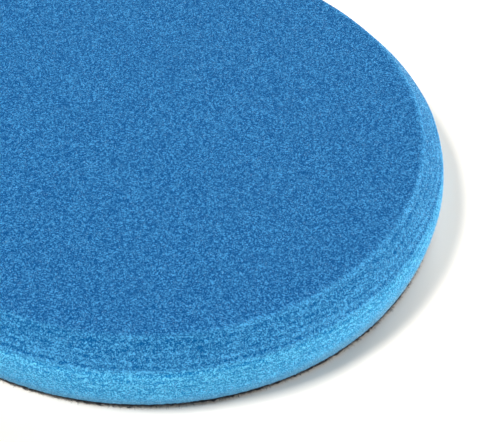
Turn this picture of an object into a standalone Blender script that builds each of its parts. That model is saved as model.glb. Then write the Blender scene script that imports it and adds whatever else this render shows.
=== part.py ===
"""Foam polishing pad with a hook-and-loop back.

A disc of open-cell foam is turned to a bulging wall, a conical shoulder and a flat working
face. A film of hot-melt adhesive bonds it to a knitted cloth, whose loop pile grips the
hooks of a polisher's backing plate. The pad lies on its pile: +Z is the disc's axis and
points out of the working face, and the origin is the centre of the pile's lowest plane.
"""

import math

import bmesh
import bpy

MM = 0.001

# Foam disc. Insets are radial and run inwards from the widest ring of the wall.
PAD_DIAMETER = 150 * MM  # at the widest ring
PAD_THICKNESS = 20 * MM  # from the pile's lowest plane to the working face
SHOULDER_INSET = 0.6 * MM  # to the ridge where the wall meets the cone
CONE_RUN = 5.4 * MM  # from that ridge inwards to the edge of the working face
CONE_HEIGHT = 6.6 * MM  # from that ridge up to the working face
BULGE_DROP = 3.4 * MM  # from that ridge down to the widest ring
BACK_INSET = 2.3 * MM  # to the edge of the bonded face
EDGE_SOFTNESS = 0.5 * MM  # width of the round on the turned edges

# Loop back
PILE_THICKNESS = 0.4 * MM
CLOTH_THICKNESS = 0.3 * MM
FILM_THICKNESS = 0.12 * MM
CLOTH_OVERHANG = 0.5 * MM  # how far the cloth stands out past the foam, all round
PILE_FRINGE = 0.2 * MM  # how far the pile stands out past the cloth
FILM_INSET = 0.1 * MM  # how far the film ends inside the foam's flat bonded face
LAYER_GAP = 0.3 * MM  # clearance between bonded layers

# Fineness of the turned shapes
TURN_STEPS = 144
WALL_STEPS = 10
EDGE_STEPS = 3
SHARP_ANGLE = math.radians(24)

# Heights, built up from the plane the pile lies on
CLOTH_BOTTOM = PILE_THICKNESS + LAYER_GAP
FILM_BOTTOM = CLOTH_BOTTOM + CLOTH_THICKNESS + LAYER_GAP
FOAM_BOTTOM = FILM_BOTTOM + FILM_THICKNESS + LAYER_GAP
SHOULDER_HEIGHT = PAD_THICKNESS - CONE_HEIGHT
BULGE_HEIGHT = SHOULDER_HEIGHT - BULGE_DROP

# Radii, worked inwards from the widest ring
WIDEST_RADIUS = PAD_DIAMETER / 2
SHOULDER_RADIUS = WIDEST_RADIUS - SHOULDER_INSET
FACE_RADIUS = SHOULDER_RADIUS - CONE_RUN
BACK_RADIUS = WIDEST_RADIUS - BACK_INSET
FILM_RADIUS = BACK_RADIUS - EDGE_SOFTNESS - FILM_INSET
CLOTH_RADIUS = BACK_RADIUS + CLOTH_OVERHANG
PILE_RADIUS = CLOTH_RADIUS + PILE_FRINGE


def clear_scene():
    """Removes every object that the file opened with."""
    for obj in list(bpy.data.objects):
        bpy.data.objects.remove(obj, do_unlink=True)


def surface(name, colour, roughness):
    """A matte material for one layer of the pad."""
    material = bpy.data.materials.new(name)
    material.use_nodes = True
    shader = material.node_tree.nodes["Principled BSDF"]
    shader.inputs["Base Color"].default_value = (*colour, 1.0)
    shader.inputs["Roughness"].default_value = roughness
    shader.inputs["Metallic"].default_value = 0.0
    return material


def turned(name, profile, material):
    """One solid turned about Z from an outer profile of (radius, height) points, lowest first.

    The profile's two ends are closed with flat round faces.
    """
    shape = bmesh.new()
    points = [shape.verts.new((radius, 0, height)) for radius, height in profile]
    edges = [shape.edges.new(pair) for pair in zip(points, points[1:])]
    bmesh.ops.spin(
        shape, geom=points + edges, cent=(0, 0, 0), axis=(0, 0, 1), angle=2 * math.pi,
        steps=TURN_STEPS, use_merge=True, use_duplicate=False,
    )
    rims = [edge for edge in shape.edges if edge.is_boundary]
    bmesh.ops.holes_fill(shape, edges=rims, sides=0)
    bmesh.ops.recalc_face_normals(shape, faces=shape.faces)

    mesh = bpy.data.meshes.new(name)
    shape.to_mesh(mesh)
    shape.free()
    mesh.shade_smooth()
    mesh.set_sharp_from_angle(angle=SHARP_ANGLE)
    mesh.materials.append(material)
    obj = bpy.data.objects.new(name, mesh)
    bpy.context.collection.objects.link(obj)
    return obj


def soften_edges(obj):
    """Rounds the turned edges, where cut foam relaxes."""
    bevel = obj.modifiers.new("soft_edges", "BEVEL")
    bevel.width = EDGE_SOFTNESS
    bevel.segments = EDGE_STEPS
    bevel.limit_method = "ANGLE"
    bevel.angle_limit = SHARP_ANGLE


def wall_radius(height):
    """Radius of the bulging wall: one parabola below its widest ring and another above it."""
    if height < BULGE_HEIGHT:
        end_radius = BACK_RADIUS
        share = (BULGE_HEIGHT - height) / (BULGE_HEIGHT - FOAM_BOTTOM)
    else:
        end_radius = SHOULDER_RADIUS
        share = (height - BULGE_HEIGHT) / BULGE_DROP
    return WIDEST_RADIUS - (WIDEST_RADIUS - end_radius) * share**2


def foam_disc():
    """The foam, from its bonded face up the wall and the cone to the working face."""
    wall_height = SHOULDER_HEIGHT - FOAM_BOTTOM
    heights = [FOAM_BOTTOM + wall_height * step / WALL_STEPS for step in range(WALL_STEPS + 1)]
    profile = [(wall_radius(height), height) for height in heights]
    profile.append((FACE_RADIUS, PAD_THICKNESS))
    foam = turned("foam_disc", profile, surface("blue_polyurethane_foam", (0.035, 0.19, 0.46), 0.95))
    soften_edges(foam)
    return foam


def layer(name, radius, bottom, thickness, material):
    """A plain round layer of the loop back."""
    return turned(name, [(radius, bottom), (radius, bottom + thickness)], material)


def bonding_film():
    """The adhesive that holds the cloth to the foam."""
    adhesive = surface("hot_melt_adhesive", (0.62, 0.66, 0.68), 0.45)
    return layer("bonding_film", FILM_RADIUS, FILM_BOTTOM, FILM_THICKNESS, adhesive)


def backing_cloth():
    """The knitted ground that carries the loops."""
    knit = surface("black_polyester_knit", (0.012, 0.013, 0.015), 0.9)
    return layer("backing_cloth", CLOTH_RADIUS, CLOTH_BOTTOM, CLOTH_THICKNESS, knit)


def loop_pile():
    """The loops, at the height they have when the pad lies on them."""
    loops = surface("black_nylon_loops", (0.015, 0.016, 0.019), 0.85)
    return layer("loop_pile", PILE_RADIUS, 0.0, PILE_THICKNESS, loops)


def build():
    """Makes the four layers and hangs them on one empty."""
    clear_scene()
    pad = bpy.data.objects.new("polishing_pad", None)
    bpy.context.collection.objects.link(pad)
    for piece in (foam_disc(), bonding_film(), backing_cloth(), loop_pile()):
        piece.parent = pad


build()
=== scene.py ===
"""Polishing pad: the finished look of a blue foam pad with a hook-and-loop back.

The pad lies on its loops, face up, on a pale floor. The foam is a turned disc of open cells,
with turning marks round its cone and wall and torn strut ends all over. Under it come a milky
film of adhesive, a knitted black cloth, and the nylon loops that are drawn out of that cloth.
"""

import math

import bpy
import numpy as np
from mathutils import Matrix, Vector, noise


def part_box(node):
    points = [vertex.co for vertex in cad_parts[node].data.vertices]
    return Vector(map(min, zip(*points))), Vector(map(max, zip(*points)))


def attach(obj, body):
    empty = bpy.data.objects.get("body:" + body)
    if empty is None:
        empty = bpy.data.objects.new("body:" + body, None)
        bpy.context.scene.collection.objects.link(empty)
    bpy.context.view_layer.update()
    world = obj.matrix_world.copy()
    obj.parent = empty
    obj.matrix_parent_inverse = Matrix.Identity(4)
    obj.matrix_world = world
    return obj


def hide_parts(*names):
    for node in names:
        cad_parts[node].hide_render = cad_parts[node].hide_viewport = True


bl_info = {
    "name": "Foam Polishing Pad",
    "version": (1, 0, 0),
    "blender": (4, 5, 0),
    "location": "3D View > Sidebar > Polishing Pad",
    "description": "Builds a turned foam polishing pad with a loop back, and a stage to show it on",
    "category": "Add Mesh",
}

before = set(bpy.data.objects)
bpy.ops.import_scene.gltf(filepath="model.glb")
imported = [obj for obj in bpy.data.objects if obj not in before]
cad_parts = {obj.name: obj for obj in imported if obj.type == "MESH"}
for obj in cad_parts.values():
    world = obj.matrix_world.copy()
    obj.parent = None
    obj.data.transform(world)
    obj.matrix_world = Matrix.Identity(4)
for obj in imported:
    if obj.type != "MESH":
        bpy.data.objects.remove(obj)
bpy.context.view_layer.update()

MM = 0.001
FULL_TURN = 2 * math.pi
BAKE_MAP = "OFBake"  # the UV layout on which a piece's pattern can be baked

# The lowest and highest corners of the foam, and the highest corners of the layers below it
FOAM_LOW, FOAM_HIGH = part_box("foam_disc")
FILM_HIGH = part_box("bonding_film")[1]
CLOTH_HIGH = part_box("backing_cloth")[1]
PILE_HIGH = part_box("loop_pile")[1]


# ------------------------------------ sizes and colours to change


def length(name, description, default, high, low=0.0):
    """A size in metres that a user can change."""
    return bpy.props.FloatProperty(
        name=name, description=description, default=default, min=low, max=high,
        unit="LENGTH", precision=5,
    )


def colour(name, description, hex_colour):
    """A colour that a user can change."""
    return bpy.props.FloatVectorProperty(
        name=name, description=description, default=linear(hex_colour), size=4,
        min=0.0, max=1.0, subtype="COLOR",
    )


def power(name, description, watts):
    """A lamp's power that a user can change."""
    return bpy.props.FloatProperty(
        name=name, description=description, default=watts, min=0, max=500, unit="POWER"
    )


def linear(hex_colour):
    """Linear RGBA of an sRGB colour written as a hex string."""
    parts = [int(hex_colour[start:start + 2], 16) / 255 for start in (1, 3, 5)]
    parts = [c / 12.92 if c <= 0.04045 else ((c + 0.055) / 1.055) ** 2.4 for c in parts]
    return (*parts, 1.0)


class FoamSettings(bpy.types.PropertyGroup):
    """The turned foam disc."""

    cell_size: length("Cell size", "Width of one open cell", 0.29 * MM, 3 * MM, 0.2 * MM)
    cone_run: length("Cone run", "From the shoulder inwards to the face's edge", 5.4 * MM, 20 * MM)
    cone_height: length("Cone height", "From the shoulder up to the face", 6.6 * MM, 12 * MM)
    shoulder_inset: length("Shoulder inset", "From the widest ring in to the shoulder", 0.6 * MM, 5 * MM)
    bulge_drop: length("Bulge drop", "From the shoulder down to the widest ring", 3.4 * MM, 8 * MM)
    back_inset: length("Back inset", "From the widest ring in to the bonded edge", 1.8 * MM, 8 * MM)
    edge_softness: length("Edge softness", "Length of the round on an edge", 1.3 * MM, 3 * MM, 0.2 * MM)
    groove_pitch: length("Groove pitch", "Height between the wall's grooves", 1.75 * MM, 6 * MM, 1 * MM)
    groove_depth: length("Groove depth", "Depth of the wall's grooves", 0.2 * MM, 1 * MM)
    strut_length: length("Strut length", "Longest torn strut end on the skin", 0.42 * MM, 2 * MM)
    strut_count: bpy.props.IntProperty(
        name="Strut ends", description="Number of torn strut ends on the skin",
        default=64000, min=1, max=66000,
    )
    pit_colour: colour("Pit colour", "Blue in the depth of an opened cell", "#004680")
    strut_colour: colour("Strut colour", "Blue of the struts round the cells", "#489BD5")
    wall_colour: colour("Wall colour", "Blue of the pits in the turned wall", "#0A76B4")
    torn_colour: colour("Torn colour", "Pale blue of torn struts on the wall", "#6ACCF6")
    tip_colour: colour("Tip colour", "Palest blue of a strut's torn end", "#9CDCFF")
    # Darker towards the foot all round, and painted shade on the side that faces away from the key lamp
    dark_foot_colour: colour("Soaked colour", "Dull blue where adhesive has soaked in", "#5B93B7")


class BackSettings(bpy.types.PropertyGroup):
    """The loop back: film, cloth and pile."""

    wale_pitch: length("Wale pitch", "Between the columns of stitches", 1.1 * MM, 3 * MM, 0.6 * MM)
    course_pitch: length("Course pitch", "Between the rows of stitches", 0.96 * MM, 3 * MM, 0.6 * MM)
    yarn_width: length("Loop yarn width", "Width of the yarn in one loop", 0.2 * MM, 0.5 * MM, 0.05 * MM)
    loop_width: length("Loop width", "Span of one loop at its foot", 0.8 * MM, 2 * MM, 0.2 * MM)
    fringe_length: length("Fringe length", "Longest loose filament", 1.1 * MM, 5 * MM, 0.2 * MM)
    fringe_count: bpy.props.IntProperty(
        name="Fringe filaments", description="Number of loose filaments round the cut edge",
        default=6500, min=1, max=8000,
    )
    film_colour: colour("Film colour", "Milky tint of the set adhesive", "#8FA3AC")
    knit_colour: colour("Knit colour", "Dyed black of the cloth", "#222931")
    loop_colour: colour("Loop colour", "Dyed black of the loops", "#28313A")


class StageSettings(bpy.types.PropertyGroup):
    """Floor, lights and camera."""

    camera_distance: length("Camera distance", "From the pad's centre to the lens", 448.6 * MM, 5)
    camera_elevation: bpy.props.FloatProperty(
        name="Camera elevation", description="Angle of the lens above the floor",
        default=math.radians(44.31), min=0, max=math.pi / 2, subtype="ANGLE",
    )
    camera_roll: bpy.props.FloatProperty(
        name="Camera roll", description="Turn of the camera about its own axis",
        default=math.radians(2.57), min=-math.pi, max=math.pi, subtype="ANGLE",
    )
    aim: bpy.props.FloatVectorProperty(
        name="Aim", description="The point of the face in the middle of the view",
        default=(23.9 * MM, -33.8 * MM, FOAM_HIGH.z), size=3, subtype="TRANSLATION",
    )
    lens: bpy.props.FloatProperty(
        name="Lens", description="Focal length in millimetres, on a 36 mm sensor",
        default=125, min=20, max=300,
    )
    key_power: power("Key light", "Power of the soft lamp above the pad on its left", 56.0)
    side_power: power("Side light", "Power of the low panel on the pad's right", 49.0)
    back_power: power("Back light", "Power of the panel behind the pad on its right", 22.0)
    front_power: power("Front light", "Power of the low panel in front of the pad", 37.5)
    room_light: bpy.props.FloatProperty(
        name="Room light", description="Brightness of the white room all round",
        default=0.19, min=0, max=5,
    )
    floor_colour: colour("Floor colour", "White laminate table top", "#FAF3E8")


SETTINGS = {"pad_foam": FoamSettings, "pad_back": BackSettings, "pad_stage": StageSettings}


# ------------------------------------ materials

STREAK_LENGTH = 9 * MM  # how far the cutter drags the foam's torn struts round the pad
STREAK_WIDTH = 0.4 * MM
PALE_CELL_RARITY = 2.5  # the higher this power, the fewer cells are shallow and pale
SHADED_FILM = "#5F7F94"  # adhesive where the blue foam shows through it
SHADED_KNIT = "#08090A"  # between the stitches
SHADED_LOOP = "#0B0C0D"  # the darkest of the loops
NOISE_SPAN = {"From Min": 0.3, "From Max": 0.7}  # where most values of a noise texture lie


def add_node(tree, kind, inputs=None, **settings):
    """Adds a node with its settings. An input that is given a socket is linked, any other is set."""
    node = tree.nodes.new(kind)
    for name, value in settings.items():
        setattr(node, name, value)
    for name, value in (inputs or {}).items():
        if isinstance(value, bpy.types.NodeSocket):
            tree.links.new(value, node.inputs[name])
        else:
            node.inputs[name].default_value = value
    return node


def new_material(name):
    """A material with nothing in it but an output node, and its tree."""
    material = bpy.data.materials.new(name)
    material.use_nodes = True
    material.node_tree.nodes.clear()
    return material, material.node_tree


def foam_material(foam):
    """Open-cell polyurethane foam, turned with an abrasive cutter.

    Matte and grainy: each opened cell is a small dark pit ringed by paler struts. The turned
    wall is paler than the sliced face, and the torn crests of the turning marks are palest, with
    a painted highlight on them. Painted shade darkens the grooves, and the foot is darker, with
    painted shade on its side away from the key lamp.
    """
    material, tree = new_material("turned_open_cell_polyurethane_foam")
    place = add_node(tree, "ShaderNodeTexCoord").outputs["Object"]
    cell = {"Vector": place, "Scale": 1 / foam.cell_size, "Randomness": 1.0}
    cells = add_node(tree, "ShaderNodeTexVoronoi", cell, feature="F1")
    walls = add_node(tree, "ShaderNodeTexVoronoi", cell, feature="DISTANCE_TO_EDGE")
    struts = add_node(
        tree, "ShaderNodeMapRange",
        {"Value": walls.outputs["Distance"], "From Max": 0.22, "To Min": 0.26, "To Max": 0.0},
        interpolation_type="SMOOTHSTEP",
    ).outputs["Result"]

    # Each cell is cut at its own depth, so some pits are dark and others are shallow and pale
    chance = add_node(
        tree, "ShaderNodeSeparateColor", {"Color": cells.outputs["Color"]}
    ).outputs["Red"]
    rare = add_node(
        tree, "ShaderNodeMath", {0: chance, 1: PALE_CELL_RARITY}, operation="POWER"
    ).outputs[0]
    depth = add_node(
        tree, "ShaderNodeMapRange", {"Value": rare, "To Min": -0.22, "To Max": 1.0}
    ).outputs["Result"]
    fine = add_node(
        tree, "ShaderNodeTexNoise",
        {"Vector": place, "Scale": 1 / (0.5 * foam.cell_size), "Detail": 1.0},
    ).outputs["Fac"]
    grain = add_node(
        tree, "ShaderNodeMapRange", {"Value": fine, **NOISE_SPAN, "To Min": -0.6, "To Max": 0.6},
        clamp=False,
    ).outputs["Result"]
    lit = add_node(tree, "ShaderNodeMath", {0: depth, 1: struts}, operation="ADD").outputs[0]
    tone = add_node(tree, "ShaderNodeMath", {0: lit, 1: grain}, operation="ADD").outputs[0]
    turned = add_node(tree, "ShaderNodeAttribute", attribute_name="turned").outputs["Fac"]
    rougher = add_node(
        tree, "ShaderNodeMath", {0: turned, 1: 1.0, 2: 1.0}, operation="MULTIPLY_ADD"
    ).outputs[0]
    tone = add_node(tree, "ShaderNodeMath", {0: tone, 1: rougher}, operation="MULTIPLY").outputs[0]

    # The cutter drags the struts into short streaks that run round the cone and the wall
    around = add_node(
        tree, "ShaderNodeVectorMath", {0: place, 1: (1.0, 1.0, 0.0)}, operation="MULTIPLY"
    ).outputs[0]
    circle = add_node(tree, "ShaderNodeVectorMath", {0: around}, operation="NORMALIZE").outputs[0]
    turns = add_node(
        tree, "ShaderNodeVectorMath", {0: circle, "Scale": FOAM_HIGH.x / STREAK_LENGTH},
        operation="SCALE",
    ).outputs[0]
    rise = add_node(
        tree, "ShaderNodeVectorMath", {0: place, 1: (0.0, 0.0, 1 / STREAK_WIDTH)},
        operation="MULTIPLY",
    ).outputs[0]
    wound = add_node(tree, "ShaderNodeVectorMath", {0: turns, 1: rise}, operation="ADD").outputs[0]
    streaks = add_node(
        tree, "ShaderNodeTexNoise", {"Vector": wound, "Scale": 1.0, "Detail": 2.0, "Roughness": 0.6}
    ).outputs["Fac"]
    # torn: pale torn crests and edge with painted highlights on them, and painted shade in the grooves
    # and the score
    torn = add_node(tree, "ShaderNodeAttribute", attribute_name="torn").outputs["Fac"]
    dragged = add_node(
        tree, "ShaderNodeMapRange",
        {"Value": streaks, **NOISE_SPAN, "To Min": -0.28, "To Max": 0.28}, clamp=False,
    ).outputs["Result"]
    off_face = add_node(
        tree, "ShaderNodeMapRange", {"Value": turned, "From Max": 0.25}
    ).outputs["Result"]
    tone = add_node(
        tree, "ShaderNodeMath", {0: dragged, 1: off_face, 2: tone}, operation="MULTIPLY_ADD"
    ).outputs[0]
    tone = add_node(
        tree, "ShaderNodeMath", {0: torn, 1: tone}, operation="ADD", use_clamp=True
    ).outputs[0]
    sliced = add_node(
        tree, "ShaderNodeMix", {0: tone, 6: foam.pit_colour, 7: foam.strut_colour}, data_type="RGBA"
    ).outputs[2]
    abraded = add_node(
        tree, "ShaderNodeMix", {0: tone, 6: foam.wall_colour, 7: foam.torn_colour}, data_type="RGBA"
    ).outputs[2]
    base = add_node(
        tree, "ShaderNodeMix", {0: turned, 6: sliced, 7: abraded}, data_type="RGBA"
    ).outputs[2]

    # The foam's foot is duller and darker towards the bottom all round, with painted shade deepest on
    # the side that faces away from the key lamp
    darkened = add_node(tree, "ShaderNodeAttribute", attribute_name="darkened").outputs["Fac"]
    base = add_node(
        tree, "ShaderNodeMix", {0: darkened, 6: base, 7: foam.dark_foot_colour}, data_type="RGBA"
    ).outputs[2]

    # Soft mottling a few cells wide
    mottle = add_node(
        tree, "ShaderNodeTexNoise",
        {"Vector": place, "Scale": 1 / (5 * foam.cell_size), "Detail": 3.0, "Roughness": 0.6},
    ).outputs["Fac"]
    mottled = add_node(
        tree, "ShaderNodeMapRange", {"Value": mottle, **NOISE_SPAN, "To Min": 0.98, "To Max": 1.02}
    ).outputs["Result"]
    base = add_node(
        tree, "ShaderNodeVectorMath", {0: base, "Scale": mottled}, operation="SCALE"
    ).outputs[0]

    bump = add_node(
        tree, "ShaderNodeBump", {"Height": tone, "Strength": 0.8, "Distance": 0.15 * MM}
    ).outputs["Normal"]
    shader = add_node(
        tree, "ShaderNodeBsdfPrincipled",
        {
            "Base Color": base, "Normal": bump, "Roughness": 0.9, "IOR": 1.5,
            "Specular IOR Level": 0.06, "Sheen Weight": 0.02, "Sheen Roughness": 0.5,
            "Sheen Tint": (0.4, 0.75, 1.0, 1.0),
        },
    )
    add_node(tree, "ShaderNodeOutputMaterial", {"Surface": shader.outputs[0]})
    return material


def strut_material(foam):
    """Torn ends of the foam's struts: the same polyurethane, thin enough for light to brighten it."""
    material, tree = new_material("torn_polyurethane_struts")
    shade = add_node(tree, "ShaderNodeAttribute", attribute_name="shade").outputs["Fac"]
    base = add_node(
        tree, "ShaderNodeMix", {0: shade, 6: foam.strut_colour, 7: foam.tip_colour}, data_type="RGBA"
    ).outputs[2]
    shader = add_node(
        tree, "ShaderNodeBsdfPrincipled",
        {
            "Base Color": base, "Roughness": 0.6, "IOR": 1.5, "Specular IOR Level": 0.3,
            "Sheen Weight": 0.3, "Sheen Roughness": 0.5,
        },
    )
    add_node(tree, "ShaderNodeOutputMaterial", {"Surface": shader.outputs[0]})
    return material


def film_material(back):
    """Hot-melt adhesive, rolled on and pressed: milky, with a soft gloss where it squeezed out."""
    material, tree = new_material("pressed_hot_melt_adhesive")
    place = add_node(tree, "ShaderNodeTexCoord").outputs["Object"]
    streaks = add_node(
        tree, "ShaderNodeTexNoise", {"Vector": place, "Scale": 1 / (2.5 * MM), "Detail": 4.0}
    ).outputs["Fac"]
    base = add_node(
        tree, "ShaderNodeMix", {0: streaks, 6: back.film_colour, 7: linear(SHADED_FILM)},
        data_type="RGBA",
    ).outputs[2]
    gloss = add_node(
        tree, "ShaderNodeMapRange", {"Value": streaks, "To Min": 0.3, "To Max": 0.55}
    ).outputs["Result"]
    bump = add_node(
        tree, "ShaderNodeBump", {"Height": streaks, "Strength": 0.4, "Distance": 0.1 * MM}
    ).outputs["Normal"]
    shader = add_node(
        tree, "ShaderNodeBsdfPrincipled",
        {
            "Base Color": base, "Roughness": gloss, "Normal": bump, "IOR": 1.49,
            "Subsurface Weight": 0.3, "Subsurface Scale": 0.4 * MM,
        },
    )
    add_node(tree, "ShaderNodeOutputMaterial", {"Surface": shader.outputs[0]})
    return material


def knit_material(back):
    """Warp-knitted polyester, dyed black: matte rows of small stitches.

    The stitches are drawn at the loops' own pitch, which is coarser than the real ground's
    0.6 mm, so that they still show.
    """
    material, tree = new_material("warp_knitted_polyester")
    place = add_node(tree, "ShaderNodeTexCoord").outputs["Object"]
    rows = add_node(
        tree, "ShaderNodeMapping",
        {"Vector": place, "Scale": (1 / back.wale_pitch, 1 / back.course_pitch, 1 / back.course_pitch)},
    ).outputs["Vector"]
    wave = {"Vector": rows, "Scale": 0.5, "Distortion": 1.2, "Detail": 2.0, "Detail Scale": 1.5}
    wales = add_node(tree, "ShaderNodeTexWave", wave, bands_direction="X").outputs["Fac"]
    courses = add_node(tree, "ShaderNodeTexWave", wave, bands_direction="Y").outputs["Fac"]
    stitches = add_node(
        tree, "ShaderNodeMath", {0: wales, 1: courses}, operation="MULTIPLY"
    ).outputs[0]
    base = add_node(
        tree, "ShaderNodeMix", {0: stitches, 6: linear(SHADED_KNIT), 7: back.knit_colour},
        data_type="RGBA",
    ).outputs[2]
    bump = add_node(
        tree, "ShaderNodeBump", {"Height": stitches, "Strength": 0.8, "Distance": 0.15 * MM}
    ).outputs["Normal"]
    shader = add_node(
        tree, "ShaderNodeBsdfPrincipled",
        {
            "Base Color": base, "Normal": bump, "Roughness": 0.85, "IOR": 1.57,
            "Specular IOR Level": 0.3, "Sheen Weight": 0.3, "Sheen Roughness": 0.5,
        },
    )
    add_node(tree, "ShaderNodeOutputMaterial", {"Surface": shader.outputs[0]})
    return material


def loop_material(back):
    """Brushed nylon loops, dyed black: bundles of smooth filaments with a faint silky shine."""
    material, tree = new_material("brushed_nylon_loops")
    shade = add_node(tree, "ShaderNodeAttribute", attribute_name="shade").outputs["Fac"]
    base = add_node(
        tree, "ShaderNodeMix", {0: shade, 6: linear(SHADED_LOOP), 7: back.loop_colour},
        data_type="RGBA",
    ).outputs[2]
    gloss = add_node(
        tree, "ShaderNodeMapRange", {"Value": shade, "To Min": 0.42, "To Max": 0.62}
    ).outputs["Result"]
    shader = add_node(
        tree, "ShaderNodeBsdfPrincipled",
        {
            "Base Color": base, "Roughness": gloss, "IOR": 1.53, "Specular IOR Level": 0.5,
            "Sheen Weight": 0.35, "Sheen Roughness": 0.45,
        },
    )
    add_node(tree, "ShaderNodeOutputMaterial", {"Surface": shader.outputs[0]})
    return material


def floor_material(stage):
    """White melamine laminate, pressed to a fine satin: plain, with a very weak soft reflection."""
    material, tree = new_material("white_satin_laminate")
    place = add_node(tree, "ShaderNodeTexCoord").outputs["Object"]
    grain = add_node(
        tree, "ShaderNodeTexNoise", {"Vector": place, "Scale": 1 / (40 * MM), "Detail": 2.0}
    ).outputs["Fac"]
    gloss = add_node(
        tree, "ShaderNodeMapRange", {"Value": grain, "To Min": 0.7, "To Max": 0.8}
    ).outputs["Result"]
    shader = add_node(
        tree, "ShaderNodeBsdfPrincipled",
        {
            "Base Color": stage.floor_colour, "Roughness": gloss, "IOR": 1.5,
            "Specular IOR Level": 0.15,
        },
    )
    add_node(tree, "ShaderNodeOutputMaterial", {"Surface": shader.outputs[0]})
    return material


# ------------------------------------ mesh helpers

SEED_SHIFTS = (17.3, 5.9, 11.1)  # one seed's noise lies this far from the next one's
ROUNDING_STEPS = 8  # steps from a corner to the end of its round


def mesh_object(name, points, faces, material, marks=None, layout=None):
    """A smooth-shaded object.

    marks holds named values for each point, and layout a UV place for each corner of each face.
    """
    mesh = bpy.data.meshes.new(name)
    mesh.from_pydata(np.asarray(points).tolist(), [], faces)
    for mark, values in (marks or {}).items():
        attribute = mesh.attributes.new(mark, "FLOAT", "POINT")
        attribute.data.foreach_set("value", np.ascontiguousarray(values, np.float32))
    if layout is not None:
        mesh.uv_layers.new(name=BAKE_MAP).uv.foreach_set(
            "vector", np.ascontiguousarray(layout, np.float32).ravel()
        )
    mesh.shade_smooth()
    mesh.materials.append(material)
    obj = bpy.data.objects.new(name, mesh)
    bpy.context.collection.objects.link(obj)
    return obj


def waves(points, size, seed):
    """Smooth noise from -1 to 1 at each point, with lumps about that size."""
    shift = Vector([seed * along_axis for along_axis in SEED_SHIFTS])
    return np.array([noise.noise(Vector(p) + shift) for p in (np.asarray(points) / size).tolist()])


def waves_round(circle, lumps, seed):
    """Smooth noise round the pad, from a circle of radius 1. More lumps make it finer."""
    return waves(circle * lumps, 1.0, seed)


def hump(x, centre, width):
    """1 at the centre, falling to 0 on both sides."""
    return np.exp(-(((x - centre) / width) ** 2))


def step_up(x, low, high):
    """0 below low and 1 above high, with a smooth rise between."""
    share = np.clip((x - low) / (high - low), 0, 1)
    return share * share * (3 - 2 * share)


def disc_grid(half_steps, radius):
    """A square grid bent onto a disc, so that its points are evenly spaced.

    Gives the points, the quads, and the rim's point numbers from angle 0 anticlockwise.
    """
    side = 2 * half_steps + 1
    steps = np.linspace(-1, 1, side)
    u, v = (axis.ravel() for axis in np.meshgrid(steps, steps, indexing="ij"))
    wide = np.abs(u) >= np.abs(v)
    reach = np.where(wide, u, v)
    other = np.where(wide, v, u)
    ratio = np.divide(other, reach, out=np.zeros_like(other), where=reach != 0)
    turn = np.where(wide, math.pi / 4 * ratio, math.pi / 2 - math.pi / 4 * ratio)
    points = np.column_stack([radius * reach * np.cos(turn), radius * reach * np.sin(turn)])

    index = np.arange(side * side).reshape(side, side)
    quads = np.stack([index[:-1, :-1], index[1:, :-1], index[1:, 1:], index[:-1, 1:]], axis=-1)
    on_rim = np.flatnonzero(np.maximum(np.abs(u), np.abs(v)) > 1 - 0.5 / half_steps)
    angle = np.arctan2(points[on_rim, 1], points[on_rim, 0]) % FULL_TURN
    angle[angle > FULL_TURN - 1e-6] = 0.0  # rounding can lift angle 0 to a full turn
    return points, quads.reshape(-1, 4).tolist(), on_rim[np.argsort(angle)].tolist()


def unit_circle(steps):
    """Angles evenly spaced round the pad, and the points at them on a circle of radius 1."""
    angle = np.arange(steps) * FULL_TURN / steps
    return angle, np.column_stack([np.cos(angle), np.sin(angle), np.zeros_like(angle)])


def ring_at(circle, radius, height):
    """The points of a ring at that height. The radius may differ from point to point."""
    return np.column_stack([
        radius * circle[:, 0], radius * circle[:, 1], np.full(len(circle), height),
    ])


def ring_quads(rings):
    """Quads between each ring of point numbers and the next, which lies outside or below it."""
    quads = []
    for inner, outer in zip(rings, rings[1:]):
        ahead_in, ahead_out = inner[1:] + inner[:1], outer[1:] + outer[:1]
        quads += [list(q) for q in zip(inner, outer, ahead_out, ahead_in)]
    return quads


def along(points, step):
    """Points evenly spaced along a line through the given ones, about one step apart."""
    points = np.asarray(points, float)
    legs = np.linalg.norm(np.diff(points, axis=0), axis=1)
    reach = np.concatenate(([0.0], np.cumsum(legs)))
    places = np.linspace(0, reach[-1], max(2, round(reach[-1] / step) + 1))
    return np.column_stack([np.interp(places, reach, column) for column in points.T])


def rounded(points, softness):
    """The same line with its corners rounded over about that length."""
    fine = along(points, softness / (2 * ROUNDING_STEPS))
    before, after = (np.repeat(end, ROUNDING_STEPS, 0) for end in (fine[:1], fine[-1:]))
    wide = np.concatenate([before, fine, after])
    kernel = np.hanning(2 * ROUNDING_STEPS + 3)[1:-1]
    kernel /= kernel.sum()
    return np.column_stack([np.convolve(column, kernel, mode="valid") for column in wide.T])


# ------------------------------------ foam

FACE_STEPS = 104  # quads from the face's middle to its rim
OUTLINE_STEP = 0.41 * MM  # between the rings of the cone and the wall
BULGE_CORNERS = 12  # corners of the curve from the shoulder down to the widest ring
FOOT_CORNERS = 16  # and from there down to the bonded edge
FACE_MARGIN = 1.6 * MM  # the evenly gridded face ends this far inside its edge
FOAM_SINK = 0.77 * MM  # soft foam beds this far down into the adhesive
FOAM_FOOT = FOAM_LOW.z - FOAM_SINK
CELL_RELIEF = 0.035 * MM  # height of the cut cells' relief that the mesh itself holds
FACE_WAVE = 0.12 * MM  # slow waviness of the sliced face
WALL_WAVE = 0.14 * MM
WAVE_LENGTH = 14 * MM
FOOT_TEARS = 0.6 * MM  # how far the cut edge at the foot is torn down over the cloth
CONE_SHARE = 0.22  # how far the cone's colour has gone from the sliced face's to the wall's
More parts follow.
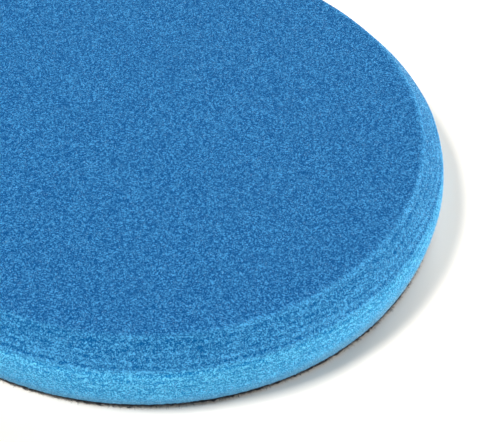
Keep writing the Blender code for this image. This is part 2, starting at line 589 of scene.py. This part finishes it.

# Turning marks. The wall's run from the shoulder down: how pale the crest is, torn and with a painted
# highlight, and how deep its dip, which is dug and carries painted shade
WALL_MARKS = ((0.6, 0.65), (0.3, 0.45), (0.28, 0.4), (0.16, 0.15))
CREST_WIDTH = 0.35 * MM  # of its pale line, torn and with a painted highlight
DIP_SHADE_WIDTH = 0.38 * MM  # of its dark line, painted shade in the groove
DIP_DROP = 0.34  # how far the dip lies below its crest, as a share of the groove pitch
DIP_REACH = 0.2  # how wide the dip is dug, as a share of that pitch
DIP_GAIN = 1.5  # depth of the deepest dip, in groove depths
SCORE_RISE = 0.75 * MM  # the score's height above the shoulder
SCORE_DEPTH = 0.1 * MM
CHATTER_PITCH = 1.5 * MM
CHATTER_DEPTH = 0.06 * MM
EDGE_WIDTH = 0.9 * MM  # of the pale line at the face's edge, torn and with a painted highlight
EDGE_HIGHLIGHT_SIDE = math.radians(-25)  # where the painted highlight on the face's edge is brightest, on the pad's right

# Darkening of the foam's foot: all round, and with painted shade on the side that faces away from the
# key lamp
DARK_FOOT_HEIGHT = 3.4 * MM
FOOT_SHADE_SIDE = math.radians(-38)  # the side given painted shade, where the foot faces away from the key lamp
FOOT_SHADE_SPREAD = math.radians(24)

STRUT_WIDTH = (0.03, 0.055)  # thinnest and thickest torn strut, in millimetres
STRUT_ROOT = 0.04 * MM  # depth of a strut's root in the skin
STRUT_SCATTER = 0.75  # 0 stands every strut straight out of the skin
STRUT_SEED = 11


def foam_outline(foam):
    """The foam's half section from the face's rim down to the bonded face, as (radius, height)."""
    top = FOAM_HIGH.z - CELL_RELIEF
    widest = FOAM_HIGH.x
    shoulder = top - foam.cone_height
    bulge = shoulder - foam.bulge_drop
    face_edge = widest - foam.shoulder_inset - foam.cone_run
    corners = [(face_edge - FACE_MARGIN, top), (face_edge, top)]
    for height in np.linspace(shoulder, bulge, BULGE_CORNERS):
        share = (height - bulge) / foam.bulge_drop
        corners.append((widest - foam.shoulder_inset * share**2, height))
    for height in np.linspace(bulge, FOAM_FOOT, FOOT_CORNERS)[1:]:
        share = (bulge - height) / (bulge - FOAM_FOOT)
        corners.append((widest - foam.back_inset * share**2, height))
    soft = rounded(corners, foam.edge_softness)
    bonded_edge = widest - foam.back_inset
    bonded = [(bonded_edge, FOAM_FOOT), (bonded_edge - FACE_MARGIN, FOAM_FOOT)]
    return along(np.vstack([soft, bonded]), OUTLINE_STEP), face_edge, top, shoulder


def turning_marks(foam, radius, height, angle, circle, face_edge, top, shoulder):
    """How far the skin stands proud at each place on the cone and wall, and how pale it is:
    torn, with painted highlights on its crests and edge and painted shade in its grooves.
    """
    wander = 0.16 * MM * waves_round(circle, 3, 1) + 0.07 * MM * waves_round(circle, 11, 2)
    level = height[:, None] + wander[None, :]
    on_cone = step_up(level, shoulder - 0.2 * MM, shoulder + 0.5 * MM)
    proud = np.zeros_like(level)
    torn = np.zeros_like(level)
    for turn, (crest, dip) in enumerate(WALL_MARKS):
        fade = 0.72 + 0.28 * waves_round(circle, 5, 10 + turn)[None, :]
        ridge = shoulder - turn * foam.groove_pitch
        groove = ridge - DIP_DROP * foam.groove_pitch
        dug = foam.groove_depth * DIP_GAIN * dip * fade
        # The dip is dug and darkened with painted shade; the crest is paler, torn and with a painted
        # highlight
        proud -= dug * hump(level, groove, DIP_REACH * foam.groove_pitch)
        torn += crest * fade * hump(level, ridge, CREST_WIDTH)
        torn -= dip * fade * hump(level, groove, DIP_SHADE_WIDTH)

    # A score just above the shoulder, darkened with painted shade, and chatter from there up the cone
    score = shoulder + SCORE_RISE
    proud -= SCORE_DEPTH * hump(level, score, 0.3 * MM)
    torn -= 0.24 * hump(level, score, CREST_WIDTH)
    chatter = np.cos(FULL_TURN * (level - score - 0.85 * MM) / CHATTER_PITCH)
    chatter = chatter * (0.6 + 0.4 * waves_round(circle, 4, 20)[None, :]) * on_cone
    proud += CHATTER_DEPTH * chatter

    # Painted highlight and shade follow the chatter's crests and troughs, and the cone is more torn low
    # down than near the face
    up = (level - shoulder) / foam.cone_height
    past_edge = step_up(radius, face_edge, face_edge + 0.8 * MM)[:, None]
    torn += (0.2 * chatter + (0.25 - 0.37 * up) * on_cone) * past_edge - 0.1 * (1 - on_cone)

    # A pale line along the face's edge: the edge is torn, and a painted highlight on it is brightest on
    # the pad's right
    lit_side = step_up(np.cos(angle - EDGE_HIGHLIGHT_SIDE), 0, 0.8)[None, :]
    edge_tear_and_highlight = (0.09 + 0.24 * lit_side) * (0.8 + 0.2 * waves_round(circle, 7, 30)[None, :])
    from_edge = np.hypot(radius - face_edge, height - top)[:, None]
    torn += edge_tear_and_highlight * hump(from_edge, 0, EDGE_WIDTH)
    return proud, torn


def foam_skin(foam):
    """The foam disc: a sliced face, a turned cone and wall, and the flat face that is bonded."""
    outline, face_edge, top, shoulder = foam_outline(foam)
    flat, quads, rim = disc_grid(FACE_STEPS, outline[0, 0])
    radius, height = outline.T
    count = len(rim)
    angle, circle = unit_circle(count)

    # Rings below the face, pushed in and out by the turning marks
    slope = np.gradient(outline, axis=0)
    slope /= np.linalg.norm(slope, axis=1)[:, None]
    proud, torn = turning_marks(foam, radius, height, angle, circle, face_edge, top, shoulder)
    ring_radius = radius[:, None] - slope[:, 1:2] * proud
    ring_height = height[:, None] + slope[:, 0:1] * proud
    rings = np.stack([ring_radius * circle[:, 0], ring_radius * circle[:, 1], ring_height], -1)
    out = -slope[:, 1:2] * np.ones_like(proud)
    up = slope[:, 0:1] * np.ones_like(proud)
    outward = np.stack([out * circle[:, 0], out * circle[:, 1], up], -1)

    first = len(flat)  # number of the first point below the face
    points = np.column_stack([flat, np.full(first, top)])
    points = np.concatenate([points, rings[1:].reshape(-1, 3)])
    normals = np.tile((0.0, 0.0, 1.0), (first, 1))
    normals = np.concatenate([normals, outward[1:].reshape(-1, 3)])
    wave_height = np.where(np.arange(len(points)) < first, FACE_WAVE, WALL_WAVE)
    loose = step_up(points[:, 2], FOAM_LOW.z, FOAM_LOW.z + 2 * MM)
    relief = wave_height * waves(points, WAVE_LENGTH, 3) * loose
    relief += CELL_RELIEF * 1.6 * waves(points, 0.8 * foam.cell_size, 4)
    points = points + normals * relief[:, None]
    ragged = 1 - step_up(points[:, 2], FOAM_FOOT, FOAM_LOW.z + 0.4 * MM)
    points[first:, 2] -= FOOT_TEARS * (ragged * np.abs(waves(points, 1.3 * MM, 9)))[first:]

    starts = range(first, first + (len(rings) - 1) * count, count)
    numbers = [rim] + [list(range(start, start + count)) for start in starts]
    faces = quads + ring_quads(numbers)
    faces.append(list(reversed(numbers[-1])))

    sliced = np.zeros(first)
    marks = {
        "torn": np.concatenate([sliced, torn[1:].ravel()]),
        "turned": np.concatenate([sliced, turned_share(points[first:], face_edge, shoulder)]),
        "darkened": dark_foot_share(points),
    }
    layout = foam_layout(points, faces, len(quads), count, len(outline) - 1)
    return mesh_object("foam_disc_skin", points, faces, foam_material(foam), marks, layout)


def dark_foot_share(points):
    """How dark the foot is: darkest at the bottom all round, and reaching higher with painted shade on
    the side that faces away from the key lamp.
    """
    # squeezed marks the side given painted shade, where the foot faces away from the key lamp
    squeezed = hump(np.arctan2(points[:, 1], points[:, 0]), FOOT_SHADE_SIDE, FOOT_SHADE_SPREAD)
    low = FOAM_FOOT + 2 * MM * squeezed
    high = FOAM_LOW.z + DARK_FOOT_HEIGHT * (1 + 1.1 * squeezed)
    return (0.75 + 0.25 * squeezed) * (1 - step_up(points[:, 2], low, high))


def turned_share(points, face_edge, shoulder):
    """0 on the sliced face, CONE_SHARE on the cone, 1 on the wall, where the cutter ran fastest."""
    radius = np.hypot(points[:, 0], points[:, 1])
    cone = step_up(radius, face_edge - 1.0 * MM, face_edge + 0.4 * MM)
    wall = 1 - step_up(points[:, 2], shoulder - 1.0 * MM, shoulder + 0.7 * MM)
    return CONE_SHARE * cone + (1 - CONE_SHARE) * wall


def foam_layout(points, faces, face_quads, count, ring_rows):
    """UV places: the face as a round patch, with the cone and wall as four strips beside it."""
    patch = 0.74  # share of the map's side that the round face fills
    strip = (1 - patch) / 2
    end_gap = 0.01  # left free at each end of a strip
    side_gap = 0.05  # left free at each of its sides, as a share of its width
    across = 2 * FOAM_HIGH.x
    places = []
    for quad in faces[:face_quads]:
        for number in quad:
            x, y = points[number, :2]
            places.append((patch * (0.5 + x / across), patch * (0.5 + y / across)))
    quarter = count // 4
    for row in range(ring_rows):
        for column in range(count):
            part, step = divmod(column, quarter)
            low, high = row / ring_rows, (row + 1) / ring_rows
            start, end = step / quarter, (step + 1) / quarter
            for down, turn in ((low, start), (high, start), (high, end), (low, end)):
                along_strip = end_gap + (patch - 2 * end_gap) * turn
                across_strip = patch + strip * (part % 2 + side_gap + (1 - 2 * side_gap) * down)
                place = (across_strip, along_strip)
                places.append(place if part < 2 else place[::-1])
    places += [(0.99, 0.99)] * count
    return places


def strut_ends(foam, skin):
    """Torn ends of struts, standing at all angles on the face, the cone and the wall."""
    rng = np.random.default_rng(STRUT_SEED)
    count = foam.strut_count
    mesh = skin.data
    mesh.calc_loop_triangles()
    corners = np.empty(len(mesh.loop_triangles) * 3, np.int32)
    mesh.loop_triangles.foreach_get("vertices", corners)
    corners = corners.reshape(-1, 3)
    places = np.empty(len(mesh.vertices) * 3, np.float32)
    mesh.vertices.foreach_get("co", places)
    places = places.reshape(-1, 3).astype(float)
    turned = np.empty(len(mesh.vertices), np.float32)
    mesh.attributes["turned"].data.foreach_get("value", turned)

    # Places spread evenly over the skin, but four times closer on the wall than on the face
    a, b, c = (places[corners[:, i]] for i in range(3))
    normal = np.cross(b - a, c - a)
    area = np.linalg.norm(normal, axis=1)
    shown = (a[:, 2] > FOAM_FOOT + 0.3 * MM) & (area > 0)
    share = np.where(shown, area * (0.6 + 1.8 * turned[corners[:, 0]]), 0)
    chosen = rng.choice(len(corners), count, p=share / share.sum())
    normal = normal[chosen] / area[chosen, None]
    u, v = rng.random((2, count))
    flip = u + v > 1
    u, v = np.where(flip, 1 - u, u), np.where(flip, 1 - v, v)
    root = a[chosen] + u[:, None] * (b - a)[chosen] + v[:, None] * (c - a)[chosen]

    # Most struts are short, and any that would lie too flat on the skin stands straight out
    lean = rng.normal(size=(count, 3))
    direction = normal + STRUT_SCATTER * lean
    direction /= np.linalg.norm(direction, axis=1)[:, None]
    too_flat = (direction * normal).sum(1) < 0.15
    direction[too_flat] = normal[too_flat]
    size = foam.strut_length * (0.3 + 0.7 * rng.random(count) ** 1.6)
    width = rng.uniform(*STRUT_WIDTH, count) * MM
    side = np.cross(direction, rng.normal(size=(count, 3)))
    side /= np.linalg.norm(side, axis=1)[:, None]
    other = np.cross(direction, side)
    base = root - STRUT_ROOT * normal
    ring = [
        base + width[:, None] * (math.cos(t) * side + math.sin(t) * other)
        for t in (0, FULL_TURN / 3, 2 * FULL_TURN / 3)
    ]
    tip = root + size[:, None] * direction
    points = np.stack([*ring, tip], axis=1).reshape(-1, 3)
    start = 4 * np.arange(count)[:, None]
    sides = np.concatenate([start + np.array([[i, (i + 1) % 3, 3]]) for i in range(3)])
    marks = {"shade": np.repeat(rng.random(count), 4)}
    material = strut_material(foam)
    layout = flat_layout(points, sides.ravel())
    return mesh_object("foam_strut_ends", points, sides.tolist(), material, marks, layout)


def flat_layout(points, corners):
    """UV places straight down through the pad, for small parts that need only their own colour."""
    return 0.5 + points[corners, :2] / (2.1 * FOAM_HIGH.x)


# ------------------------------------ loop back

CLOTH_STEPS = 98  # quads from the cloth's middle to its rim
CLOTH_UNDER = 0.5 * MM  # underside of the cloth, above the loops' lowest points
CLOTH_OVER = 0.85 * MM  # its upper side
CLOTH_SPREAD = 0.15 * MM  # how far the cut edge has spread
CLOTH_BULGE = 0.1 * MM  # how far the middle of that edge stands out from its upper corner
STITCH_RELIEF = 0.03 * MM
FILM_OVER = FOAM_FOOT + 0.02 * MM  # the film's upper side reaches just into the foam
FILM_STEPS = 720  # points round the film
FILM_ROWS = 9  # rings over the film's rounded edge
FILM_BEAD = 0.2 * MM  # how far the adhesive was squeezed out, on average
YARN_SIDES = 3
ACROSS_YARNS = (0.31, 0.52, 0.79)  # a direction that no yarn follows
LOOP_POINTS = 5  # along one loop
HAIR_POINTS = 4  # along one loose filament
LOOP_SPREAD = 0.1 * MM  # how far past the rim of the CAD pile the loops may stand
LOWEST_YARN = 0.01 * MM  # a loop that is pressed flat lies this far above the floor
HAIR_HEIGHTS = (0.04 * MM, 2.2 * MM)  # no loose filament lies lower or stands higher
PILE_SEED = 23


def bonding_film(back):
    """The adhesive between cloth and foam, with the uneven bead that squeezed out all round."""
    _, circle = unit_circle(FILM_STEPS)
    squeeze = 0.22 * MM * waves_round(circle, 14, 5) + 0.12 * MM * waves_round(circle, 60, 6)
    middle = (CLOTH_OVER + FILM_OVER) / 2
    half = (FILM_OVER - CLOTH_OVER) / 2
    rim = FILM_HIGH.x + FILM_BEAD
    points = []
    rings = []
    for row, tilt in enumerate(np.linspace(math.pi / 2, -math.pi / 2, FILM_ROWS)):
        radius = rim + squeeze + half * math.cos(tilt)
        points.append(ring_at(circle, radius, middle + half * math.sin(tilt)))
        rings.append(list(range(row * FILM_STEPS, (row + 1) * FILM_STEPS)))
    points = np.concatenate(points)
    faces = ring_quads(rings) + [rings[0], list(reversed(rings[-1]))]
    return mesh_object("pressed_adhesive_film", points, faces, film_material(back))


def backing_cloth(back):
    """The knitted cloth: stitches in relief below, cut yarns round the rim, smooth above."""
    radius = CLOTH_HIGH.x + CLOTH_SPREAD
    flat, quads, rim = disc_grid(CLOTH_STEPS, radius)
    x, y = flat.T
    stitch = np.cos(FULL_TURN * x / back.wale_pitch) * np.cos(math.pi * y / back.course_pitch)
    _, circle = unit_circle(len(rim))
    frayed = 0.5 * MM * waves_round(circle, 90, 7) + 0.35 * MM * waves_round(circle, 25, 8)
    points = [np.column_stack([flat, CLOTH_UNDER - STITCH_RELIEF * stitch])]
    rings = [rim]
    start = len(flat)
    for height, out in (
        (CLOTH_UNDER + 0.12 * MM, CLOTH_BULGE),
        (CLOTH_OVER - 0.12 * MM, CLOTH_BULGE),
        (CLOTH_OVER, 0.0),
    ):
        points.append(ring_at(circle, radius + out + frayed, height))
        rings.append(list(range(start, start + len(rim))))
        start += len(rim)
    points = np.concatenate(points)
    faces = [list(reversed(quad)) for quad in quads + ring_quads(rings)] + [rings[-1]]
    return mesh_object("knitted_backing_cloth", points, faces, knit_material(back))


def tubes(paths, widths):
    """Thin three-sided tubes: paths is (tubes, points, 3), widths the radius at each point."""
    count, steps, _ = paths.shape
    heading = np.gradient(paths, axis=1)
    heading /= np.linalg.norm(heading, axis=2)[..., None]
    side = np.cross(heading, ACROSS_YARNS)
    side /= np.linalg.norm(side, axis=2)[..., None]
    other = np.cross(heading, side)
    corners = [
        paths + widths[..., None] * (math.cos(t) * side + math.sin(t) * other)
        for t in np.arange(YARN_SIDES) * FULL_TURN / YARN_SIDES
    ]
    points = np.stack(corners, axis=2).reshape(-1, 3)
    index = np.arange(count * steps * YARN_SIDES).reshape(count, steps, YARN_SIDES)
    ahead = np.roll(index, -1, axis=2)
    quads = np.stack([index[:, :-1], ahead[:, :-1], ahead[:, 1:], index[:, 1:]], axis=-1)
    return points, quads.reshape(-1, 4)


def loop_row(name, back, first_wale, material, rng):
    """Every second wale of loops, which one bar of the knitting machine lays."""
    reach = PILE_HIGH.x + LOOP_SPREAD
    wales = np.arange(-reach, reach, back.wale_pitch)[first_wale::2]
    courses = np.arange(-reach, reach, back.course_pitch)
    x, y = (axis.ravel() for axis in np.meshgrid(wales, courses, indexing="ij"))
    y = y + 0.5 * back.course_pitch * first_wale
    x = x + rng.normal(0, 0.16, len(x)) * MM
    y = y + rng.normal(0, 0.14, len(y)) * MM
    inside = np.hypot(x, y) < reach
    x, y = x[inside], y[inside]
    count = len(x)

    # Each loop turns, leans and bunches up in its own way
    share = np.linspace(0, 1, LOOP_POINTS)
    facing = rng.normal(0.35, 0.55, count)[:, None]
    half = back.loop_width / 2 * rng.uniform(0.7, 1.25, count)[:, None]
    drop = (CLOTH_UNDER - 0.1 * MM) * rng.uniform(0.78, 1.0, count)[:, None]
    lean = rng.normal(0.45, 0.25, count)[:, None] * drop
    across = -np.cos(math.pi * share)[None, :] * half
    down = np.sin(math.pi * share)[None, :] ** 0.8
    px = x[:, None] + across * np.cos(facing) + lean * down * -np.sin(facing)
    py = y[:, None] + across * np.sin(facing) + lean * down * np.cos(facing)
    pz = CLOTH_UNDER + STITCH_RELIEF - drop * down
    thick = back.yarn_width / 2 * rng.uniform(0.7, 1.1, count)
    widths = np.repeat(thick[:, None], LOOP_POINTS, axis=1)
    points, quads = tubes(np.stack([px, py, pz], axis=-1), widths)
    points[:, 2] = np.maximum(points[:, 2], LOWEST_YARN)
    shade = np.repeat(rng.random(count), LOOP_POINTS * YARN_SIDES)
    layout = flat_layout(points, quads.ravel())
    return mesh_object(name, points, quads.tolist(), material, {"shade": shade}, layout)


def fringe(back, material, rng):
    """Loose filaments that the cutting die left round the rim of the cloth and the pile."""
    count = back.fringe_count
    angle = rng.uniform(0, FULL_TURN, count)
    size = back.fringe_length * (0.25 + 0.75 * rng.random(count) ** 2.2)
    heading = angle + rng.normal(0, 0.9, count)
    rise = rng.normal(0.05, 0.5, count)
    curl = rng.normal(0, 1.1, count)
    share = np.linspace(0, 1, HAIR_POINTS)[None, :]
    radius = CLOTH_HIGH.x
    low = rng.uniform(0.12 * MM, CLOTH_OVER, count)
    turn = heading[:, None] + curl[:, None] * share
    px = radius * np.cos(angle)[:, None] + size[:, None] * share * np.cos(turn)
    py = radius * np.sin(angle)[:, None] + size[:, None] * share * np.sin(turn)
    pz = low[:, None] + size[:, None] * share * rise[:, None]
    pz = np.clip(pz, *HAIR_HEIGHTS)
    widths = rng.uniform(0.015, 0.05, count)[:, None] * MM * (1 - 0.6 * share)
    points, quads = tubes(np.stack([px, py, pz], axis=-1), widths)
    shade = np.repeat(rng.random(count), HAIR_POINTS * YARN_SIDES)
    layout = flat_layout(points, quads.ravel())
    return mesh_object("loose_filaments", points, quads.tolist(), material, {"shade": shade}, layout)


# ------------------------------------ operators


class PAD_OT_foam(bpy.types.Operator):
    """Build the turned foam disc and its torn strut ends"""

    bl_idname = "pad.foam"
    bl_label = "Foam disc"

    def execute(self, context):
        foam = context.scene.pad_foam
        skin = foam_skin(foam)
        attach(skin, "root")
        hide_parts("foam_disc")
        ends = strut_ends(foam, skin)
        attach(ends, "root")
        return {"FINISHED"}


class PAD_OT_film(bpy.types.Operator):
    """Build the adhesive film between the foam and the cloth"""

    bl_idname = "pad.film"
    bl_label = "Adhesive film"

    def execute(self, context):
        film = bonding_film(context.scene.pad_back)
        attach(film, "root")
        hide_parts("bonding_film")
        return {"FINISHED"}


class PAD_OT_cloth(bpy.types.Operator):
    """Build the knitted cloth"""

    bl_idname = "pad.cloth"
    bl_label = "Knitted cloth"

    def execute(self, context):
        cloth = backing_cloth(context.scene.pad_back)
        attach(cloth, "root")
        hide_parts("backing_cloth")
        return {"FINISHED"}


class PAD_OT_pile(bpy.types.Operator):
    """Build the nylon loops and the loose filaments round the edge"""

    bl_idname = "pad.pile"
    bl_label = "Loop pile"

    def execute(self, context):
        back = context.scene.pad_back
        material = loop_material(back)
        rng = np.random.default_rng(PILE_SEED)
        rows = [
            loop_row("nylon_loops_front_bar", back, 0, material, rng),
            loop_row("nylon_loops_back_bar", back, 1, material, rng),
            fringe(back, material, rng),
        ]
        for piece in rows:
            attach(piece, "root")
        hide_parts("loop_pile")
        return {"FINISHED"}


class PAD_OT_stage(bpy.types.Operator):
    """Lay the floor and set the lights and the camera"""

    bl_idname = "pad.stage"
    bl_label = "Stage"

    def execute(self, context):
        stage = context.scene.pad_stage
        lay_floor(stage)
        set_lights(stage)
        set_camera(stage)
        return {"FINISHED"}


# ------------------------------------ stage

FLOOR_RADIUS = 1.4  # metres
FLOOR_STEPS = 6  # quads from its middle to its rim


def lay_floor(stage):
    """A wide round table top under the pad."""
    flat, quads, _ = disc_grid(FLOOR_STEPS, FLOOR_RADIUS)
    points = np.column_stack([flat, np.zeros(len(flat))])
    mesh_object("table_top", points, quads, floor_material(stage))


def lamp(name, place, size, power, tint):
    """A soft square lamp aimed at the pad."""
    light = bpy.data.lights.new(name, "AREA")
    light.shape = "SQUARE"
    light.size = size
    light.energy = power
    light.color = linear(tint)[:3]
    obj = bpy.data.objects.new(name, light)
    obj.location = place
    obj.rotation_mode = "QUATERNION"
    obj.rotation_quaternion = (-Vector(place)).to_track_quat("-Z", "Y")
    bpy.context.collection.objects.link(obj)


def set_lights(stage):
    """A soft key lamp high on the left, and low panels on the right, behind and in front.

    The room all round gives the pad a weak even light, and the camera sees it as plain white.
    """
    lamp("key_lamp", (-1.2, -0.26, 2.0), 0.64, stage.key_power, "#FFFFFF")
    lamp("side_panel", (2.26, 0.56, 0.4), 0.72, stage.side_power, "#FFF7F2")
    lamp("back_panel", (0.69, 1.3, 0.74), 1.0, stage.back_power, "#FFFAF7")
    lamp("front_panel", (0.88, -2.44, 0.3), 0.58, stage.front_power, "#FBFCFF")
    world = bpy.data.worlds.new("white_room")
    world.use_nodes = True
    tree = world.node_tree
    tree.nodes.clear()
    seen = add_node(tree, "ShaderNodeLightPath").outputs["Is Camera Ray"]
    strength = add_node(
        tree, "ShaderNodeMapRange", {"Value": seen, "To Min": stage.room_light, "To Max": 1.0}
    ).outputs["Result"]
    walls = add_node(tree, "ShaderNodeBackground", {"Color": (1.0, 1.0, 1.0, 1.0), "Strength": strength})
    add_node(tree, "ShaderNodeOutputWorld", {"Surface": walls.outputs[0]})
    bpy.context.scene.world = world
    bpy.context.scene.view_settings.view_transform = "Standard"


def set_camera(stage):
    """A camera in front of the pad, looking down on the near right part of its edge."""
    camera = bpy.data.cameras.new("camera")
    camera.lens = stage.lens
    camera.clip_start = 0.01
    obj = bpy.data.objects.new("camera", camera)
    up = stage.camera_elevation
    place = stage.camera_distance * Vector((0, -math.cos(up), math.sin(up)))
    look = (Vector(stage.aim) - place).to_track_quat("-Z", "Y").to_matrix()
    turn = look @ Matrix.Rotation(stage.camera_roll, 3, "Z")
    obj.matrix_world = Matrix.Translation(place) @ turn.to_4x4()
    bpy.context.collection.objects.link(obj)
    bpy.context.scene.camera = obj


# ------------------------------------ panel and registration


class PAD_PT_panel(bpy.types.Panel):
    """The pad's sizes, colours and building steps"""

    bl_label = "Polishing Pad"
    bl_space_type = "VIEW_3D"
    bl_region_type = "UI"
    bl_category = "Polishing Pad"

    def draw(self, context):
        for group, operators in (
            ("pad_foam", [PAD_OT_foam]),
            ("pad_back", [PAD_OT_film, PAD_OT_cloth, PAD_OT_pile]),
            ("pad_stage", [PAD_OT_stage]),
        ):
            box = self.layout.box()
            settings = getattr(context.scene, group)
            for name in SETTINGS[group].__annotations__:
                box.prop(settings, name)
            for operator in operators:
                box.operator(operator.bl_idname)


OPERATORS = (PAD_OT_foam, PAD_OT_film, PAD_OT_cloth, PAD_OT_pile, PAD_OT_stage)


def register():
    """Registers the settings, the operators and the panel."""
    for group, settings in SETTINGS.items():
        bpy.utils.register_class(settings)
        setattr(bpy.types.Scene, group, bpy.props.PointerProperty(type=settings))
    for operator in (*OPERATORS, PAD_PT_panel):
        bpy.utils.register_class(operator)


def unregister():
    """Takes them all away again."""
    for operator in reversed((*OPERATORS, PAD_PT_panel)):
        bpy.utils.unregister_class(operator)
    for group, settings in SETTINGS.items():
        delattr(bpy.types.Scene, group)
        bpy.utils.unregister_class(settings)


def main():
    """Builds the pad and its stage."""
    register()
    bpy.ops.pad.stage()
    bpy.ops.pad.foam()
    bpy.ops.pad.film()
    bpy.ops.pad.cloth()
    bpy.ops.pad.pile()


if __name__ == "__main__":
    main()
